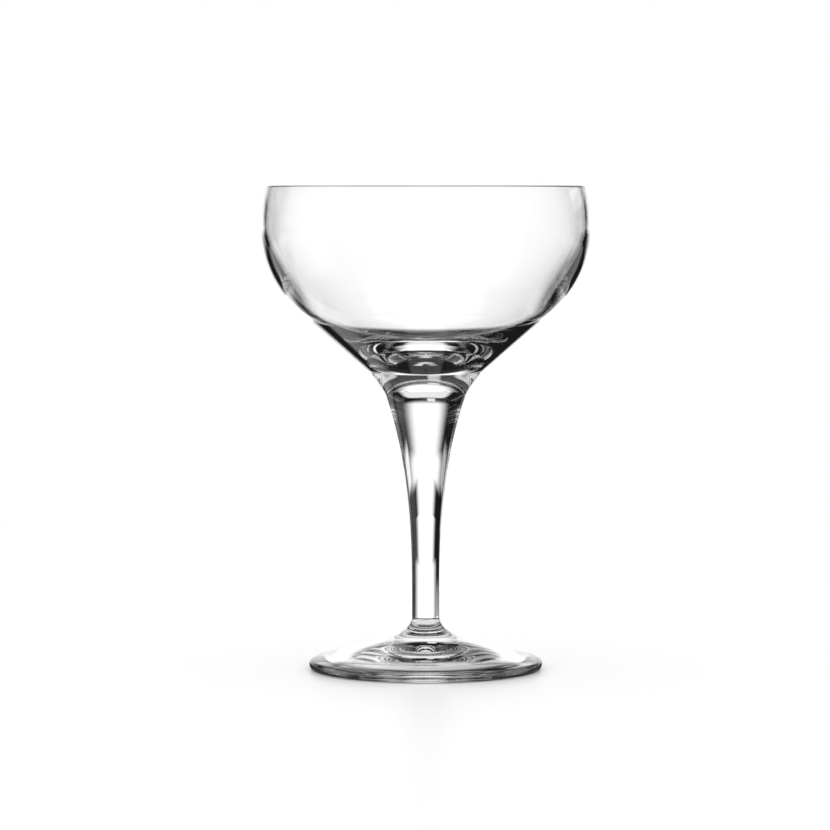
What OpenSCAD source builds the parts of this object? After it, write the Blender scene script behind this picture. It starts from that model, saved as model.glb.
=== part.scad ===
// Coupe glass: a wide shallow bowl on a drawn trumpet stem and a round foot.
// It is made of three gathers of clear glass that are welded to each other while hot.
// The round base of the bowl lies in the dished seat of the stem,
// and the stem stands on the collar of the foot.
// Lengths are in millimetres, +Z is up, and the foot rests on the plane z = 0.

/* [Bowl] */
// Outside diameter at the widest ring of the bowl
bowl_d = 95; // [88:1:104]
// Height of the rim above the widest ring
rim_rise = 12; // [8:0.5:18]
// Distance that the rim draws in from the widest ring, on each side
rim_inset = 1.6; // [0.8:0.1:3]
// Outside radius of the shoulder below the widest ring
shoulder_r = 32; // [28:0.5:36]
// Slope of the cone below the shoulder, in degrees from the axis
cone_angle = 49; // [45:1:55]
// Thickness of the glass at the rim
rim_wall = 1.2; // [0.9:0.1:1.8]
// Thickness of the glass at the widest ring
side_wall = 1.4; // [1:0.1:2]
// How far the inside runs straight down below the widest ring before it bends
side_reach = 17; // [12:0.5:22]
// How far the floor of the bowl runs level from the axis before it bends
floor_reach = 22; // [14:0.5:28]
// Thickness of the glass on the axis, from the seat to the floor of the bowl
base_thick = 8.5; // [6:0.5:12]

/* [Stem] */
// Diameter of the slim waist of the stem
waist_d = 8; // [6:0.5:11]
// Height of the straight waist above the collar
waist_h = 6; // [2:0.5:16]
// Diameter of the neck, where the trumpet turns into the flare
neck_d = 22.8; // [18:0.2:26]
// Height of the neck above the collar
neck_h = 64; // [45:0.5:85]
// How late the trumpet opens: 1 is a straight taper, and more is slimmer below
taper_power = 2.6; // [1.5:0.1:3.5]
// Height of the flare above the neck
flare_h = 7; // [5:0.2:11]
// Slope of the flare where it meets the seat, in degrees from the axis
flare_angle = 34; // [25:1:45]
// How far the flare runs straight from each end, as a share of its length
flare_draw = 0.25; // [0.15:0.05:0.4]
// Diameter of the seat that carries the bowl
seat_d = 32; // [28:0.5:36]
// Depth of the dish in the seat
seat_dish = 4.2; // [3:0.1:5]

/* [Foot] */
// Diameter of the foot
foot_d = 67.5; // [58:0.5:80]
// Thickness of the rounded edge of the foot
edge_h = 2.8; // [2:0.1:4]
// Diameter of the collar where it rises from the foot
collar_d = 26; // [20:0.5:32]
// Height of the foot where the collar rises
crown_h = 8.1; // [6:0.1:11]
// Height of the collar
collar_h = 6.9; // [5:0.1:10]
// How far the collar is drawn into its inner corner, as a share of the way there
collar_draw = 0.6; // [0.4:0.05:0.8]
// Width of the flat ring that the foot rests on
ring_w = 4; // [2:0.5:8]
// Depth of the hollow under the foot
hollow_h = 4; // [1:0.1:5]

/* [Hidden] */
$fn = 180;
glass_tint = [0.85, 0.92, 0.93, 0.6];
curve_steps = 16;

// Heights at which the pieces meet
collar_z = crown_h + collar_h;
neck_z = collar_z + neck_h;
seat_z = neck_z + flare_h;
seat_floor_z = seat_z - seat_dish;

// Stem and foot radii
waist_r = waist_d / 2;
neck_r = neck_d / 2;
seat_r = seat_d / 2;
foot_r = foot_d / 2;
edge_r = edge_h / 2;
collar_r = collar_d / 2;
ring_out_r = foot_r - edge_r;
ring_in_r = ring_out_r - ring_w;

// Outside of the bowl: the cone leaves the seat and meets the shoulder at a tangent
bowl_r = bowl_d / 2;
shoulder_axis_r = bowl_r - shoulder_r;
shoulder_end_r = shoulder_axis_r + shoulder_r * cos(cone_angle);
shoulder_end_z = seat_z + (shoulder_end_r - seat_r) / tan(cone_angle);
widest_z = shoulder_end_z + shoulder_r * sin(cone_angle);
rim_z = widest_z + rim_rise;
rim_lean = atan(2 * rim_inset / rim_rise);
rim_r = rim_wall / 2;
rim_centre = [bowl_r - rim_inset - rim_r * cos(rim_lean), rim_z - rim_r];

// Inside of the bowl: one flowing curve from the floor to the side
inside_r = bowl_r - side_wall;
floor_z = seat_floor_z + base_thick;

// Points on an arc about a centre, without its first point
function arc(centre, radius, from, to) = [
    for (i = [1 : curve_steps])
        let (angle = from + (to - from) * i / curve_steps)
            centre + radius * [cos(angle), sin(angle)]
];

// Points on a cubic curve between two ends with two handles, without its first point
function cubic(start, handle_a, handle_b, end) = [
    for (i = [1 : curve_steps])
        let (t = i / curve_steps, u = 1 - t)
            u ^ 3 * start + 3 * u ^ 2 * t * handle_a + 3 * u * t ^ 2 * handle_b + t ^ 3 * end
];

// Points of a side that rises straight up and bends away towards its end
function bent_side(start, end) = [
    for (i = [1 : curve_steps])
        let (t = i / curve_steps)
            [start.x + (end.x - start.x) * t ^ 2, start.y + (end.y - start.y) * t]
];

function reversed(points) = [for (i = [len(points) - 1 : -1 : 0]) points[i]];

// The dished joint of bowl and stem, from the axis out to the edge of the seat
function seat_curve() =
    let (
        dish_r = (seat_r ^ 2 + seat_dish ^ 2) / (2 * seat_dish),
        half_angle = asin(seat_r / dish_r)
    )
        concat([[0, seat_floor_z]], arc([0, seat_floor_z + dish_r], dish_r, -90, half_angle - 90));

// Outside of the bowl, from the seat up to the rim
function bowl_outside() =
    concat(
        seat_curve(),
        [[shoulder_end_r, shoulder_end_z]],
        arc([shoulder_axis_r, widest_z], shoulder_r, -cone_angle, 0),
        bent_side([bowl_r, widest_z], rim_centre + rim_r * [cos(rim_lean), sin(rim_lean)])
    );

// Inside of the bowl, from the floor up to the rim
function bowl_inside() =
    concat(
        [[0, floor_z]],
        cubic(
            [0, floor_z],
            [floor_reach, floor_z],
            [inside_r, widest_z - side_reach],
            [inside_r, widest_z]
        ),
        bent_side([inside_r, widest_z], rim_centre - rim_r * [cos(rim_lean), sin(rim_lean)])
    );

// Side of the stem, from the collar up to the edge of the seat
function stem_side() =
    let (
        taper_z = collar_z + waist_h,
        rise = neck_z - taper_z,
        spread = neck_r - waist_r,
        neck = [neck_r, neck_z],
        seat_edge = [seat_r, seat_z],
        neck_lean = atan(taper_power * spread / rise),
        handle = flare_draw * norm(seat_edge - neck)
    )
        concat(
            [[waist_r, collar_z], [waist_r, taper_z]],
            [
                for (i = [1 : curve_steps])
                    let (t = i / curve_steps)
                        [waist_r + spread * t ^ taper_power, taper_z + rise * t]
            ],
            cubic(
                neck,
                neck + handle * [sin(neck_lean), cos(neck_lean)],
                seat_edge - handle * [sin(flare_angle), cos(flare_angle)],
                seat_edge
            )
        );

// Top of the foot, from the flat ring over the rounded edge and up the collar
function foot_top() =
    let (
        edge_centre = [ring_out_r, edge_r],
        collar_start = [collar_r, crown_h],
        collar_end = [waist_r, collar_z],
        reach = edge_centre - collar_start,
        slope = atan2(-reach.y, reach.x) - asin(edge_r / norm(reach)),
        corner = [waist_r, crown_h + (collar_r - waist_r) * tan(slope)]
    )
        concat(
            arc(edge_centre, edge_r, -90, 90 - slope),
            [collar_start],
            cubic(
                collar_start,
                collar_start + collar_draw * (corner - collar_start),
                collar_end + collar_draw * (corner - collar_end),
                collar_end
            )
        );

// Underside of the foot, from the axis out to the flat ring
function foot_underside() =
    let (
        hollow_r = (ring_in_r ^ 2 + hollow_h ^ 2) / (2 * hollow_h),
        half_angle = asin(ring_in_r / hollow_r)
    )
        concat([[0, hollow_h]], arc([0, hollow_h - hollow_r], hollow_r, 90, 90 - half_angle));

// A solid of clear glass, turned about the axis
module turned_glass(outline) {
    color(glass_tint)
        rotate_extrude()
            polygon(outline);
}

// The blown bowl, with a rounded rim and a heavy base
module bowl() {
    rim = arc(rim_centre, rim_r, rim_lean, rim_lean + 180);
    turned_glass(concat(bowl_outside(), rim, reversed(bowl_inside())));
}

// The solid stem, with its dished seat
module stem() {
    turned_glass(concat([[0, collar_z]], stem_side(), reversed(seat_curve())));
}

// The pressed foot, with its collar and its hollow underside
module foot() {
    turned_glass(concat(foot_underside(), [[ring_out_r, 0]], foot_top(), [[0, collar_z]]));
}

bowl();
stem();
foot();
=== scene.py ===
"""A coupe glass of three welded pieces of clear glass, on a pale studio floor."""
import logging
import math
from dataclasses import dataclass
from enum import Enum
from typing import Sequence, Union

import bmesh
import bpy
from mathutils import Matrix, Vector
from mathutils.geometry import interpolate_bezier


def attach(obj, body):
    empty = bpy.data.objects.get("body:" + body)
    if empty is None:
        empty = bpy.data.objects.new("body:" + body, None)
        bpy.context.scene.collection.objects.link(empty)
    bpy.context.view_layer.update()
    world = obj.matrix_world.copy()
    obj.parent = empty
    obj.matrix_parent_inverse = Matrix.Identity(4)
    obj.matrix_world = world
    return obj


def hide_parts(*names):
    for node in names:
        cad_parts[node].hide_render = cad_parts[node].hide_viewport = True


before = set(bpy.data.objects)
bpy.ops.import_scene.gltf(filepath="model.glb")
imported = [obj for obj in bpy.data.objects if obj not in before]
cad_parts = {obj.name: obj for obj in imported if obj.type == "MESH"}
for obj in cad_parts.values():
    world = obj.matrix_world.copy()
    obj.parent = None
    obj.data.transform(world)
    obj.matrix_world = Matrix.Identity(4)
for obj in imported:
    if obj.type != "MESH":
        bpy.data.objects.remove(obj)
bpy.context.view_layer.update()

log = logging.getLogger("coupe")

TURN_STEPS = 192
MERGE_GAP = 1e-7
LEVEL = (1.0, 1.0, 0.0)
WHITE = (1.0, 1.0, 1.0, 1.0)

# How the tint drifts, and where a faint film lies, in hot-worked glass
WAVE_ROUGHNESS = 0.4
DRIFT_SCALE = 28.0
DRIFT_RANGE = (0.35, 0.65)
FILM_SCALE = 95.0
FILM_ROUGHNESS = 0.6
FILM_RANGE = (0.58, 0.75)

Socket = bpy.types.NodeSocket
Value = Union[float, Socket]


class Skin(Enum):
    """The two kinds of surface on a turned piece, with their material slots."""

    GLASS = 0
    WELD = 1


class Lathe:
    """Draws profiles in the XZ plane and turns them about the upright axis into one closed mesh."""

    def __init__(self) -> None:
        """Starts an empty shape."""
        self.shape = bmesh.new()
        self.tip: bmesh.types.BMVert | None = None

    def start(self, radius: float, height: float) -> None:
        """Puts the pen down at a radius and a height."""
        self.tip = self.shape.verts.new((radius, 0.0, height))

    def line(self, radius: float, height: float, steps: int = 1) -> None:
        """Draws a straight line.

        Args:
            radius: Radius of its end.
            height: Height of its end.
            steps: Number of equal steps on the way.
        """
        begin = self.tip.co.copy()
        end = Vector((radius, 0.0, height))
        for step in range(1, steps + 1):
            self._reach(begin.lerp(end, step / steps))

    def arc(self, centre: tuple[float, float], degrees: float, steps: int) -> None:
        """Draws an arc from the pen about a centre.

        Args:
            centre: Radius and height of the centre.
            degrees: Angle of the arc, positive from the axis towards up.
            steps: Number of steps on the way.
        """
        swept = bmesh.ops.spin(
            self.shape,
            geom=[self.tip],
            cent=(centre[0], 0.0, centre[1]),
            axis=(0.0, -1.0, 0.0),
            angle=math.radians(degrees),
            steps=steps,
        )
        self.tip = next(v for v in swept["geom_last"] if isinstance(v, bmesh.types.BMVert))

    def curve(self, leave: tuple[float, float], arrive: tuple[float, float],
              end: tuple[float, float], steps: int) -> None:
        """Draws a smooth curve with two handles.

        Args:
            leave: Radius and height of the handle at the pen.
            arrive: Radius and height of the handle at the end.
            end: Radius and height of the end.
            steps: Number of steps on the way.
        """
        handles = [Vector((r, 0.0, z)) for r, z in (leave, arrive, end)]
        for point in interpolate_bezier(self.tip.co, *handles, steps + 1)[1:]:
            self._reach(point)

    def bend(self, radius: float, height: float, power: float, steps: int, ends_upright: bool = False) -> None:
        """Draws a side that is upright at one end and bends towards the other.

        Args:
            radius: Radius of its end.
            height: Height of its end.
            power: How far from the upright end it bends, 1 for a straight line.
            steps: Number of steps on the way.
            ends_upright: True where the upright end is the far one.
        """
        begin = self.tip.co.copy()
        for step in range(1, steps + 1):
            part = step / steps
            swing = 1.0 - (1.0 - part) ** power if ends_upright else part ** power
            self._reach(Vector((
                begin.x + (radius - begin.x) * swing,
                0.0,
                begin.z + (height - begin.z) * part,
            )))

    def turn(self, skin: Skin) -> None:
        """Turns what was drawn a full round, and keeps the pen at its end.

        Args:
            skin: The kind of surface that it makes.
        """
        old_faces = set(self.shape.faces)
        end = self.tip.co.copy()
        edges = [edge for edge in self.shape.edges if edge.is_wire]
        corners = dict.fromkeys(corner for edge in edges for corner in edge.verts)
        bmesh.ops.spin(
            self.shape,
            geom=[*corners, *edges],
            cent=(0.0, 0.0, 0.0),
            axis=(0.0, 0.0, 1.0),
            angle=math.tau,
            steps=TURN_STEPS,
            use_merge=True,
        )
        for face in set(self.shape.faces) - old_faces:
            face.material_index = skin.value
            face.smooth = True
        self.start(end.x, end.z)

    def finish(self, name: str) -> bpy.types.Object:
        """Closes the poles and the seams and makes the object.

        Args:
            name: The object's name.

        Returns:
            The finished object, linked to the scene.
        """
        bmesh.ops.remove_doubles(self.shape, verts=self.shape.verts, dist=MERGE_GAP)
        bmesh.ops.delete(
            self.shape,
            geom=[v for v in self.shape.verts if not v.link_faces],
            context="VERTS",
        )
        bmesh.ops.recalc_face_normals(self.shape, faces=self.shape.faces)
        for edge in self.shape.edges:
            skins = {face.material_index for face in edge.link_faces}
            edge.smooth = len(skins) == 1
        mesh = bpy.data.meshes.new(name)
        self.shape.to_mesh(mesh)
        self.shape.free()
        piece = bpy.data.objects.new(name, mesh)
        bpy.context.scene.collection.objects.link(piece)
        return piece

    def _reach(self, point: Vector) -> None:
        """Draws one edge from the pen to a point."""
        corner = self.shape.verts.new(point)
        self.shape.edges.new((self.tip, corner))
        self.tip = corner


class Graph:
    """Adds nodes to a node tree, a line each."""

    def __init__(self, tree: bpy.types.NodeTree, clear: bool = False) -> None:
        """Takes hold of a tree.

        Args:
            tree: The node tree to add to.
            clear: True to empty it first.
        """
        self.tree = tree
        if clear:
            tree.nodes.clear()

    def node(self, kind: str, values: dict[str | int, object] | None = None,
             **settings: object) -> bpy.types.Node:
        """Adds a node.

        Args:
            kind: The node's type.
            values: Input sockets by name or number, with a value or a socket to link.
            settings: Attributes of the node itself.

        Returns:
            The new node.
        """
        made = self.tree.nodes.new(kind)
        for key, setting in settings.items():
            setattr(made, key, setting)
        for key, value in (values or {}).items():
            if isinstance(value, Socket):
                self.tree.links.new(value, made.inputs[key])
            else:
                made.inputs[key].default_value = value
        return made

    def math(self, operation: str, *values: Value) -> Socket:
        """Adds a Math node and returns its output."""
        return self.node("ShaderNodeMath", dict(enumerate(values)), operation=operation).outputs[0]

    def vector(self, operation: str, *values: object) -> bpy.types.Node:
        """Adds a Vector Math node and returns it."""
        return self.node("ShaderNodeVectorMath", dict(enumerate(values)), operation=operation)

    def ease(self, value: Value, start: Value, end: Value, low: Value, high: Value) -> Socket:
        """Eases from one level to another between two values.

        Args:
            value: The value that is followed.
            start: Where the change starts.
            end: Where the change ends.
            low: The level up to the start.
            high: The level from the end on.

        Returns:
            The eased level.
        """
        return self.node(
            "ShaderNodeMapRange",
            {"Value": value, "From Min": start, "From Max": end, "To Min": low, "To Max": high},
            interpolation_type="SMOOTHSTEP",
        ).outputs["Result"]

    def distance(self, place: Socket) -> Socket:
        """Returns the level distance of a place from the upright axis."""
        level = self.vector("MULTIPLY", place, LEVEL).outputs[0]
        return self.vector("LENGTH", level).outputs["Value"]

    def strongest(self, values: Sequence[Socket]) -> Socket:
        """Returns the largest of several values."""
        top = values[0]
        for value in values[1:]:
            top = self.math("MAXIMUM", top, value)
        return top


def new_group(name: str, inputs: dict[str, str], outputs: dict[str, str]) -> tuple[
        bpy.types.NodeTree, bpy.types.Node, bpy.types.Node]:
    """Makes an empty shader node group.

    Args:
        name: The group's name.
        inputs: Socket types of its inputs by name.
        outputs: Socket types of its outputs by name.

    Returns:
        The group, its input node and its output node.
    """
    tree = bpy.data.node_groups.new(name, "ShaderNodeTree")
    for way, sockets in (("INPUT", inputs), ("OUTPUT", outputs)):
        for title, kind in sockets.items():
            tree.interface.new_socket(title, in_out=way, socket_type=kind)
    return tree, tree.nodes.new("NodeGroupInput"), tree.nodes.new("NodeGroupOutput")


def new_material(name: str) -> tuple[bpy.types.Material, Graph]:
    """Makes a material with an empty node tree.

    Args:
        name: The material's name.

    Returns:
        The material, and the graph to add its nodes to.
    """
    made = bpy.data.materials.new(name)
    made.use_nodes = True
    return made, Graph(made.node_tree, clear=True)


def melt_group() -> bpy.types.NodeTree:
    """Makes the group for what hot work leaves in clear glass.

    The tint drifts, the skin waves, and a faint film lies on it here and there.

    Returns:
        The node group, with Tint, Film and Wave outputs.
    """
    tree, given, result = new_group(
        "hot_worked_glass",
        {
            "Pale": "NodeSocketColor",
            "Deep": "NodeSocketColor",
            "Stretch": "NodeSocketVector",
            "Clean": "NodeSocketFloat",
            "Handled": "NodeSocketFloat",
        },
        {"Tint": "NodeSocketColor", "Film": "NodeSocketFloat", "Wave": "NodeSocketFloat"},
    )
    graph = Graph(tree)
    place = graph.node("ShaderNodeTexCoord").outputs["Object"]
    drawn = graph.vector("MULTIPLY", place, given.outputs["Stretch"]).outputs[0]
    wave = graph.node(
        "ShaderNodeTexNoise",
        {"Vector": drawn, "Scale": 1.0, "Detail": 1.0, "Roughness": WAVE_ROUGHNESS},
    )
    drift = graph.node("ShaderNodeTexNoise", {"Vector": place, "Scale": DRIFT_SCALE, "Detail": 1.0})
    touch = graph.node(
        "ShaderNodeTexNoise",
        {"Vector": place, "Scale": FILM_SCALE, "Detail": 3.0, "Roughness": FILM_ROUGHNESS},
    )
    depth = graph.ease(drift.outputs["Fac"], *DRIFT_RANGE, 0.0, 1.0)
    tint = graph.node(
        "ShaderNodeMix",
        {"Factor": depth, 6: given.outputs["Pale"], 7: given.outputs["Deep"]},
        data_type="RGBA",
    )
    film = graph.ease(
        touch.outputs["Fac"], *FILM_RANGE, given.outputs["Clean"], given.outputs["Handled"],
    )
    tree.links.new(tint.outputs[2], result.inputs["Tint"])
    tree.links.new(film, result.inputs["Film"])
    tree.links.new(wave.outputs["Fac"], result.inputs["Wave"])
    return tree


def light_group() -> bpy.types.NodeTree:
    """Makes the group for a soft patch of light, between two sides and between two heights.

    Returns:
        The node group, with a Light output.
    """
    tree, given, result = new_group(
        "light_patch",
        {
            "Ray": "NodeSocketVector",
            "Towards": "NodeSocketVector",
            "Height": "NodeSocketFloat",
            "Inner": "NodeSocketFloat",
            "Outer": "NodeSocketFloat",
            "From": "NodeSocketFloat",
            "Full": "NodeSocketFloat",
            "Until": "NodeSocketFloat",
            "Gone": "NodeSocketFloat",
            "Level": "NodeSocketFloat",
        },
        {"Light": "NodeSocketFloat"},
    )
    graph = Graph(tree)
    get = given.outputs
    flat = graph.vector("MULTIPLY", get["Ray"], LEVEL).outputs[0]
    heading = graph.vector("NORMALIZE", flat).outputs[0]
    along = graph.vector("DOT_PRODUCT", heading, get["Towards"]).outputs["Value"]
    aside = graph.ease(graph.math("ARCCOSINE", along), get["Inner"], get["Outer"], get["Level"], 0.0)
    above = graph.ease(get["Height"], get["From"], get["Full"], 0.0, 1.0)
    below = graph.ease(get["Height"], get["Until"], get["Gone"], 1.0, 0.0)
    band = graph.math("MULTIPLY", above, below)
    tree.links.new(graph.math("MULTIPLY", aside, band), result.inputs["Light"])
    return tree


@dataclass(frozen=True)
class GlassFinish:
    """Clear glass as one kind of hot work leaves it.

    Stretch is how many waves there are to a metre along each axis, and wave is their height in metres. The two
    tints are what the glass passes where it is pale and where it is deep. Clean and handled are the roughness of a
    bare skin and of one with a faint film, and bend is how strongly the glass bends light.
    """

    name: str
    stretch: tuple[float, float, float]
    wave: float
    pale: tuple[float, float, float] = (0.998, 0.998, 0.9975)
    deep: tuple[float, float, float] = (0.989, 0.9905, 0.9885)
    clean: float = 0.0
    handled: float = 0.004
    bend: float = 1.5

    def material(self, melt: bpy.types.NodeTree) -> bpy.types.Material:
        """Makes the material.

        Args:
            melt: The node group for hot-worked glass.

        Returns:
            The new material.
        """
        made, graph = new_material(self.name)
        work = graph.node(
            "ShaderNodeGroup",
            {
                "Pale": (*self.pale, 1.0),
                "Deep": (*self.deep, 1.0),
                "Stretch": self.stretch,
                "Clean": self.clean,
                "Handled": self.handled,
            },
            node_tree=melt,
        )
        skin = graph.node(
            "ShaderNodeBump",
            {"Height": work.outputs["Wave"], "Distance": self.wave, "Strength": 1.0},
        )
        glass = graph.node(
            "ShaderNodeBsdfPrincipled",
            {
                "Base Color": work.outputs["Tint"],
                "Roughness": work.outputs["Film"],
                "Normal": skin.outputs["Normal"],
                "IOR": self.bend,
                "Transmission Weight": 1.0,
            },
        )
        graph.node("ShaderNodeOutputMaterial", {"Surface": glass.outputs["BSDF"]})
        return made


@dataclass(frozen=True)
class WeldFinish:
    """The inner face of a weld, where two pieces of glass have run into one and nothing shows."""

    name: str = "weld"

    def material(self) -> bpy.types.Material:
        """Makes the material and returns it."""
        made, graph = new_material(self.name)
        nothing = graph.node("ShaderNodeBsdfTransparent")
        graph.node("ShaderNodeOutputMaterial", {"Surface": nothing.outputs["BSDF"]})
        return made


BLOWN = GlassFinish(
    name="blown_glass",
    stretch=(55.0, 55.0, 90.0),
    wave=4e-6,
)
DRAWN = GlassFinish(
    name="drawn_glass",
    stretch=(140.0, 140.0, 16.0),
    wave=3e-6,
)
PRESSED = GlassFinish(
    name="pressed_glass",
    stretch=(110.0, 110.0, 110.0),
    wave=3e-6,
)


@dataclass
class Piece:
    """A turned piece of the glass that stands for one node of the frame."""

    node: str
    slot: str = "clear_glass"
    body: str = "root"

    def draw(self, lathe: Lathe) -> None:
        """Draws and turns the piece's profiles on a lathe."""
        raise NotImplementedError

    def build(self, skin: bpy.types.Material, weld: bpy.types.Material) -> bpy.types.Object:
        """Turns the piece, dresses it and puts it in the node's place.

        Args:
            skin: The glass of its visible faces.
            weld: The finish of the faces inside its welds.

        Returns:
            The finished object.
        """
        lathe = Lathe()
        self.draw(lathe)
        piece = lathe.finish(f"{self.node}_glass")
        piece.data.materials.append(skin)
        piece.data.materials.append(weld)
        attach(piece, self.body)
        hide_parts(self.node)
        log.info("%s: %d faces, %s", piece.name, len(piece.data.polygons), skin.name)
        return piece


@dataclass
class Foot(Piece):
    """The pressed foot: a rounded edge, a low dome, a collar that runs up to the stem, and a hollow underside."""

    node: str = "foot"
    radius: float = 0.03375
    edge: float = 0.0014
    collar_radius: float = 0.013
    crown: float = 0.0081
    collar: float = 0.0069
    collar_draw: float = 0.6
    ring: float = 0.004
    hollow: float = 0.004
    top_radius: float = 0.004
    hollow_steps: int = 120
    edge_steps: int = 56
    dome_steps: int = 32
    collar_steps: int = 128

    @property
    def top(self) -> float:
        """Height of the weld to the stem."""
        return self.crown + self.collar

    @property
    def ring_out(self) -> float:
        """Outer radius of the flat ring."""
        return self.radius - self.edge

    @property
    def slope(self) -> float:
        """Slope of the dome, in radians, where it touches the rounded edge."""
        run = self.ring_out - self.collar_radius
        drop = self.crown - self.edge
        return math.atan2(drop, run) - math.asin(self.edge / math.hypot(run, drop))

    def draw(self, lathe: Lathe) -> None:
        """Draws the underside, the rounded edge, the dome and the collar, and then the weld."""
        ring_in = self.ring_out - self.ring
        hollow_radius = (ring_in ** 2 + self.hollow ** 2) / (2 * self.hollow)
        half = math.degrees(math.asin(ring_in / hollow_radius))
        lathe.start(0.0, self.hollow)
        lathe.arc((0.0, self.hollow - hollow_radius), -half, self.hollow_steps)
        lathe.line(self.ring_out, 0.0)
        lathe.arc((self.ring_out, self.edge), 180.0 - math.degrees(self.slope), self.edge_steps)
        lathe.line(self.collar_radius, self.crown, self.dome_steps)
        corner_height = self.crown + (self.collar_radius - self.top_radius) * math.tan(self.slope)
        draw = self.collar_draw
        lathe.curve(
            (
                self.collar_radius + draw * (self.top_radius - self.collar_radius),
                self.crown + draw * (corner_height - self.crown),
            ),
            (self.top_radius, self.top + draw * (corner_height - self.top)),
            (self.top_radius, self.top),
            self.collar_steps,
        )
        lathe.turn(Skin.GLASS)
        lathe.line(0.0, self.top)
        lathe.turn(Skin.WELD)


@dataclass
class Stem(Piece):
    """The solid drawn stem: a slim waist, a trumpet that opens upwards, and a flare with a dished seat."""

    node: str = "stem"
    bottom: float = 0.015
    waist_radius: float = 0.004
    waist: float = 0.006
    neck_radius: float = 0.0114
    neck: float = 0.064
    taper: float = 2.6
    flare: float = 0.007
    flare_angle: float = 34.0
    flare_draw: float = 0.25
    seat_radius: float = 0.016
    dish: float = 0.0042
    waist_steps: int = 8
    neck_steps: int = 56
    flare_steps: int = 40
    seat_steps: int = 24

    @property
    def seat(self) -> float:
        """Height of the edge of the seat."""
        return self.bottom + self.neck + self.flare

    @property
    def seat_floor(self) -> float:
        """Height of the middle of the seat."""
        return self.seat - self.dish

    @property
    def dish_radius(self) -> float:
        """Radius of the round that the seat is a cap of."""
        return (self.seat_radius ** 2 + self.dish ** 2) / (2 * self.dish)

    @property
    def dish_angle(self) -> float:
        """Angle of that cap, in degrees from the axis to its edge."""
        return math.degrees(math.asin(self.seat_radius / self.dish_radius))

    def draw(self, lathe: Lathe) -> None:
        """Draws the lower weld, the side up to the seat, and the weld in the seat."""
        neck_height = self.bottom + self.neck
        rise = self.neck - self.waist
        lean = math.atan(self.taper * (self.neck_radius - self.waist_radius) / rise)
        reach = self.flare_draw * math.hypot(self.seat_radius - self.neck_radius, self.flare)
        angle = math.radians(self.flare_angle)
        lathe.start(0.0, self.bottom)
        lathe.line(self.waist_radius, self.bottom)
        lathe.turn(Skin.WELD)
        lathe.line(self.waist_radius, self.bottom + self.waist, self.waist_steps)
        lathe.bend(self.neck_radius, neck_height, self.taper, self.neck_steps)
        lathe.curve(
            (self.neck_radius + reach * math.sin(lean), neck_height + reach * math.cos(lean)),
            (self.seat_radius - reach * math.sin(angle), self.seat - reach * math.cos(angle)),
            (self.seat_radius, self.seat),
            self.flare_steps,
        )
        lathe.turn(Skin.GLASS)
        lathe.arc((0.0, self.seat_floor + self.dish_radius), -self.dish_angle, self.seat_steps)
        lathe.turn(Skin.WELD)


@dataclass
class Bowl(Piece):
    """The blown bowl: a heavy round base, a cone, a round shoulder, a side that draws in and a melted rim."""

    stem: Stem | None = None
    node: str = "bowl"
    radius: float = 0.0475
    rim_rise: float = 0.012
    rim_inset: float = 0.0016
    shoulder: float = 0.032
    cone_angle: float = 49.0
    rim_wall: float = 0.0012
    side_wall: float = 0.0014
    side_reach: float = 0.017
    floor_reach: float = 0.022
    base: float = 0.0085
    side_power: float = 2.0
    cone_steps: int = 16
    shoulder_steps: int = 56
    side_steps: int = 24
    lip_steps: int = 16
    inside_steps: int = 120

    def draw(self, lathe: Lathe) -> None:
        """Draws the weld under the base, the outside, the rim and the inside."""
        stem = self.stem
        cone = math.radians(self.cone_angle)
        shoulder_axis = self.radius - self.shoulder
        cone_end = shoulder_axis + self.shoulder * math.cos(cone)
        cone_top = stem.seat + (cone_end - stem.seat_radius) / math.tan(cone)
        widest = cone_top + self.shoulder * math.sin(cone)
        rim_round = self.rim_wall / 2
        lean = math.atan(2 * self.rim_inset / self.rim_rise)
        across = Vector((math.cos(lean), math.sin(lean))) * rim_round
        rim = Vector((self.radius - self.rim_inset - across.x, widest + self.rim_rise - rim_round))
        inner = self.radius - self.side_wall
        floor = stem.seat_floor + self.base
        lathe.start(0.0, stem.seat_floor)
        lathe.arc((0.0, stem.seat_floor + stem.dish_radius), stem.dish_angle, stem.seat_steps)
        lathe.turn(Skin.WELD)
        lathe.line(cone_end, cone_top, self.cone_steps)
        lathe.arc((shoulder_axis, widest), self.cone_angle, self.shoulder_steps)
        lathe.bend(*(rim + across), self.side_power, self.side_steps)
        lathe.arc(tuple(rim), 180.0, self.lip_steps)
        lathe.bend(inner, widest, self.side_power, self.side_steps, ends_upright=True)
        lathe.curve(
            (inner, widest - self.side_reach),
            (self.floor_reach, floor),
            (0.0, floor),
            self.inside_steps,
        )
        lathe.turn(Skin.GLASS)


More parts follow.
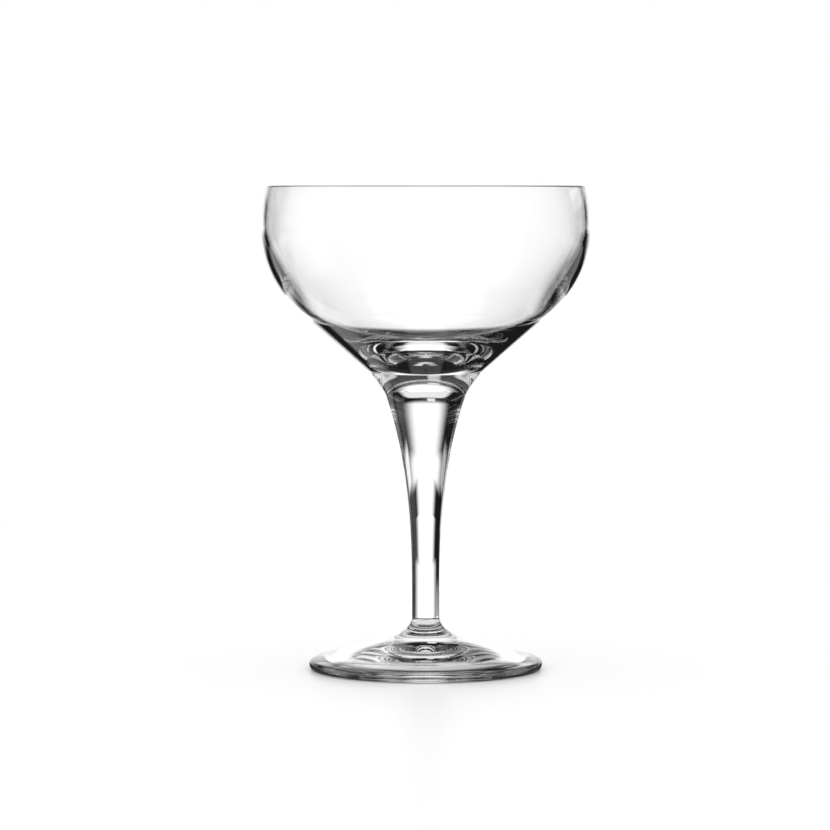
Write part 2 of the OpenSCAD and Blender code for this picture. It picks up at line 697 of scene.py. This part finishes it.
@dataclass(frozen=True)
class LightPatch:
    """A soft patch of light.

    The azimuth runs from +Y towards +X. Inner and outer say how far to each side it stays full and where it ends.
    Heights are the four angles where it starts, is full, stays full to and ends: above the horizon for a window,
    and on the table the angle at which a ray comes down. All are in degrees. Reach gives the same four places on
    the table as distances from the glass, in metres.
    """

    azimuth: float
    inner: float
    outer: float
    level: float
    heights: tuple[float, float, float, float]
    reach: tuple[float, float, float, float] | None = None

    def place(self, graph: Graph, group: bpy.types.NodeTree, ray: Socket, height: Socket) -> Socket:
        """Puts the patch in a node tree.

        Args:
            graph: The tree to add to.
            group: The node group for a patch of light.
            ray: The direction or place that is looked up.
            height: The sine of the angle from the horizon.

        Returns:
            The light there.
        """
        turn = math.radians(self.azimuth)
        edges = [math.sin(math.radians(angle)) for angle in self.heights]
        patch = graph.node(
            "ShaderNodeGroup",
            {
                "Ray": ray,
                "Height": height,
                "Towards": (math.sin(turn), math.cos(turn), 0.0),
                "Inner": math.radians(self.inner),
                "Outer": math.radians(self.outer),
                "Level": self.level,
                **dict(zip(("From", "Full", "Until", "Gone"), edges)),
            },
            node_tree=group,
        )
        light = patch.outputs["Light"]
        if self.reach:
            away = graph.distance(ray)
            light = graph.math("MULTIPLY", light, graph.ease(away, *self.reach[:2], 0.0, 1.0))
            light = graph.math("MULTIPLY", light, graph.ease(away, *self.reach[2:], 1.0, 0.0))
        return light


@dataclass
class Studio:
    """A pale floor under an even white sky, with soft windows and a light table that only the glass sees.

    Sky is what lights the floor, and room is the dim light that the glass sees between the windows. Overhead gives
    the two heights between which the light above begins, in degrees, and its level. Under_foot gives the two
    distances between which the light under the foot ends, in metres, and its level. Paper_fade gives the two
    distances between which the floor runs out into white.

    The side windows and side table lights are for looks from other sides. They show straight through the glass,
    and not in reflections inside it.
    """

    floor_size: float = 40.0
    floor_drop: float = 0.0001
    table_drop: float = 0.0003
    paper: tuple[float, float, float] = (0.95, 0.95, 0.95)
    paper_roughness: float = 0.35
    paper_fade: tuple[float, float] = (0.16, 0.5)
    sky: float = 1.2
    room: float = 0.01
    overhead: tuple[float, float, float] = (56.0, 66.0, 0.9)
    windows: tuple[LightPatch, ...] = (
        # behind the glass, from the horizon up
        LightPatch(0.0, 12.0, 25.0, 1.15, (-90.0, -89.0, 6.0, 9.0)),
        LightPatch(0.0, 18.0, 44.0, 1.15, (3.0, 5.0, 7.0, 11.0)),
        LightPatch(0.0, 10.0, 32.0, 1.15, (4.0, 8.0, 15.0, 30.0)),
        # small ones that lighten the foot
        LightPatch(-6.0, 3.0, 6.0, 0.9, (22.0, 25.0, 32.0, 37.0)),
        LightPatch(43.0, 7.0, 12.0, 1.0, (4.0, 6.0, 10.0, 14.0)),
        LightPatch(-43.0, 7.0, 12.0, 0.5, (4.0, 6.0, 10.0, 14.0)),
    )
    table_lights: tuple[LightPatch, ...] = (
        # behind the glass
        LightPatch(-2.0, 12.0, 22.0, 1.2, (-2.0, -1.0, 30.0, 40.0), (0.18, 0.28, 30.0, 40.0)),
        LightPatch(0.0, 14.0, 30.0, 1.2, (-2.0, -1.0, 4.0, 7.0), (0.05, 0.08, 30.0, 40.0)),
        LightPatch(0.0, 16.0, 42.0, 1.2, (-2.0, -1.0, 12.0, 16.0), (0.05, 0.08, 0.35, 0.5)),
        # under the collar
        LightPatch(18.0, 8.0, 13.0, 0.8, (-2.0, -1.0, 89.5, 90.0), (0.016, 0.02, 0.036, 0.042)),
        LightPatch(-18.0, 8.0, 13.0, 0.4, (-2.0, -1.0, 89.5, 90.0), (0.016, 0.02, 0.036, 0.042)),
    )
    side_windows: tuple[LightPatch, ...] = (
        # to the left, and in front to the right
        LightPatch(-90.0, 16.0, 38.0, 1.0, (-90.0, -89.0, 12.0, 26.0)),
        LightPatch(135.0, 16.0, 38.0, 1.0, (-90.0, -89.0, 12.0, 26.0)),
    )
    side_table_lights: tuple[LightPatch, ...] = (
        # below those windows
        LightPatch(-90.0, 12.0, 26.0, 1.0, (-2.0, -1.0, 30.0, 40.0), (0.08, 0.12, 30.0, 40.0)),
        LightPatch(135.0, 14.0, 30.0, 1.0, (-2.0, -1.0, 45.0, 55.0), (0.034, 0.044, 30.0, 40.0)),
        # behind, to the left and to the right
        LightPatch(-49.0, 10.0, 17.0, 0.95, (5.0, 8.0, 45.0, 55.0), (0.034, 0.044, 30.0, 40.0)),
        LightPatch(46.0, 9.0, 14.0, 0.6, (5.0, 7.0, 22.0, 28.0), (0.26, 0.32, 1.2, 1.6)),
        # all round, under the foot
        LightPatch(180.0, 180.0, 181.0, 0.9, (9.0, 13.0, 26.0, 34.0), (-0.02, -0.01, 0.028, 0.032)),
    )
    under_foot: tuple[float, float, float] = (0.018, 0.026, 0.8)
    camera_place: tuple[float, float, float] = (-0.0031, -1.09, 0.14)
    camera_aim: tuple[float, float, float] = (-0.0031, 0.0, 0.0737)
    lens: float = 163.7
    sensor: float = 36.0
    farthest: float = 100.0
    bounces: int = 32

    def build(self) -> None:
        """Builds the floor, the light table, the sky and the camera."""
        patch = light_group()
        self.lay_floor()
        self.lay_table(patch)
        self.light_sky(patch)
        self.set_camera()
        scene = bpy.context.scene
        scene.view_settings.view_transform = "Standard"
        scene.cycles.max_bounces = self.bounces
        scene.cycles.transmission_bounces = self.bounces
        scene.cycles.glossy_bounces = self.bounces
        scene.cycles.transparent_max_bounces = self.bounces

    def plane(self, name: str, drop: float) -> bpy.types.Object:
        """Lays a wide level plane.

        Args:
            name: Its name.
            drop: How far it lies below the foot.

        Returns:
            The plane, linked to the scene.
        """
        shape = bmesh.new()
        bmesh.ops.create_grid(shape, x_segments=1, y_segments=1, size=self.floor_size / 2)
        bmesh.ops.translate(shape, verts=shape.verts, vec=(0.0, 0.0, -drop))
        mesh = bpy.data.meshes.new(name)
        shape.to_mesh(mesh)
        shape.free()
        laid = bpy.data.objects.new(name, mesh)
        bpy.context.scene.collection.objects.link(laid)
        log.info("%s laid", name)
        return laid

    def lay_floor(self) -> None:
        """Lays the pale floor: it takes the shadow and a blurred mirror image, and runs out into the white sky."""
        floor = self.plane("floor", self.floor_drop)
        floor.visible_glossy = False
        floor.visible_transmission = False
        made, graph = new_material("pale_paper")
        away = graph.distance(graph.node("ShaderNodeTexCoord").outputs["Object"])
        to_eye = graph.node("ShaderNodeLightPath").outputs["Is Camera Ray"]
        fade = graph.math("MULTIPLY", to_eye, graph.ease(away, *self.paper_fade, 0.0, 1.0))
        paper = graph.node(
            "ShaderNodeBsdfPrincipled",
            {"Base Color": (*self.paper, 1.0), "Roughness": self.paper_roughness},
        )
        white = graph.node("ShaderNodeEmission", {"Color": WHITE, "Strength": 1.0})
        floor_look = graph.node(
            "ShaderNodeMixShader",
            {0: fade, 1: paper.outputs["BSDF"], 2: white.outputs["Emission"]},
        )
        graph.node("ShaderNodeOutputMaterial", {"Surface": floor_look.outputs["Shader"]})
        floor.data.materials.append(made)

    def lay_table(self, patch: bpy.types.NodeTree) -> None:
        """Lays the light table, whose light reaches the eye only through the glass or off it.

        Args:
            patch: The node group for a patch of light.
        """
        table = self.plane("light_table", self.table_drop)
        table.visible_camera = False
        table.visible_diffuse = False
        table.visible_shadow = False
        made, graph = new_material("table_light")
        place = graph.node("ShaderNodeTexCoord").outputs["Object"]
        facing = graph.node("ShaderNodeLayerWeight", {"Blend": 0.5}).outputs["Facing"]
        height = graph.math("SUBTRACT", 1.0, facing)
        lights = [light.place(graph, patch, place, height) for light in self.table_lights]
        side = [light.place(graph, patch, place, height) for light in self.side_table_lights]
        start, end, level = self.under_foot
        under = graph.ease(graph.distance(place), start, end, level, 0.0)
        shown = graph.strongest([*lights, under, self.straight(graph, side)])
        shown = graph.math("MAXIMUM", shown, self.room)
        glow = graph.node("ShaderNodeEmission", {"Color": shown, "Strength": 1.0})
        graph.node("ShaderNodeOutputMaterial", {"Surface": glow.outputs["Emission"]})
        table.data.materials.append(made)

    def light_sky(self, patch: bpy.types.NodeTree) -> None:
        """Lights the sky: white to the eye, even on the floor, and windows in the glass.

        Args:
            patch: The node group for a patch of light.
        """
        sky = bpy.data.worlds.new("studio")
        bpy.context.scene.world = sky
        sky.use_nodes = True
        graph = Graph(sky.node_tree, clear=True)
        ray = graph.node("ShaderNodeTexCoord").outputs["Generated"]
        height = graph.node("ShaderNodeSeparateXYZ", {0: ray}).outputs["Z"]
        windows = [light.place(graph, patch, ray, height) for light in self.windows]
        side = [light.place(graph, patch, ray, height) for light in self.side_windows]
        start, end, level = self.overhead
        edges = (math.sin(math.radians(angle)) for angle in (start, end))
        overhead = graph.ease(height, *edges, 0.0, level)
        shown = graph.strongest([*windows, overhead, self.straight(graph, side)])
        shown = graph.math("MAXIMUM", shown, self.room)
        path = graph.node("ShaderNodeLightPath").outputs
        in_glass = graph.math("MAXIMUM", path["Is Glossy Ray"], path["Is Transmission Ray"])
        lit = graph.node("ShaderNodeMix", {0: in_glass, 2: self.sky, 3: shown}, data_type="FLOAT")
        seen = graph.node(
            "ShaderNodeMix",
            {0: path["Is Camera Ray"], 2: lit.outputs[0], 3: 1.0},
            data_type="FLOAT",
        )
        air = graph.node("ShaderNodeBackground", {"Color": seen.outputs[0], "Strength": 1.0})
        graph.node("ShaderNodeOutputWorld", {"Surface": air.outputs["Background"]})

    @staticmethod
    def straight(graph: Graph, lights: Sequence[Socket]) -> Socket:
        """Keeps lights out of the reflections inside the glass.

        Args:
            graph: The tree to add to.
            lights: The lights to keep.

        Returns:
            The strongest of them, or none after a reflection inside.
        """
        path = graph.node("ShaderNodeLightPath").outputs
        inside = graph.math("MULTIPLY", path["Glossy Depth"], path["Transmission Depth"])
        return graph.math("MULTIPLY", graph.strongest(lights), graph.math("LESS_THAN", inside, 0.5))

    def set_camera(self) -> None:
        """Sets the camera a little above the rim, with a long lens."""
        data = bpy.data.cameras.new("camera")
        data.sensor_width = self.sensor
        data.lens = self.lens
        data.clip_end = self.farthest
        camera = bpy.data.objects.new("camera", data)
        bpy.context.scene.collection.objects.link(camera)
        camera.location = self.camera_place
        towards = Vector(self.camera_aim) - Vector(self.camera_place)
        camera.rotation_euler = towards.to_track_quat("-Z", "Y").to_euler()
        bpy.context.scene.camera = camera


def main() -> None:
    """Builds the studio and then the glass, from the foot up."""
    logging.basicConfig(level=logging.INFO, format="%(name)s: %(message)s")
    Studio().build()
    melt = melt_group()
    weld = WeldFinish().material()
    stem = Stem()
    Foot().build(PRESSED.material(melt), weld)
    stem.build(DRAWN.material(melt), weld)
    Bowl(stem=stem).build(BLOWN.material(melt), weld)


if __name__ == "__main__":
    main()
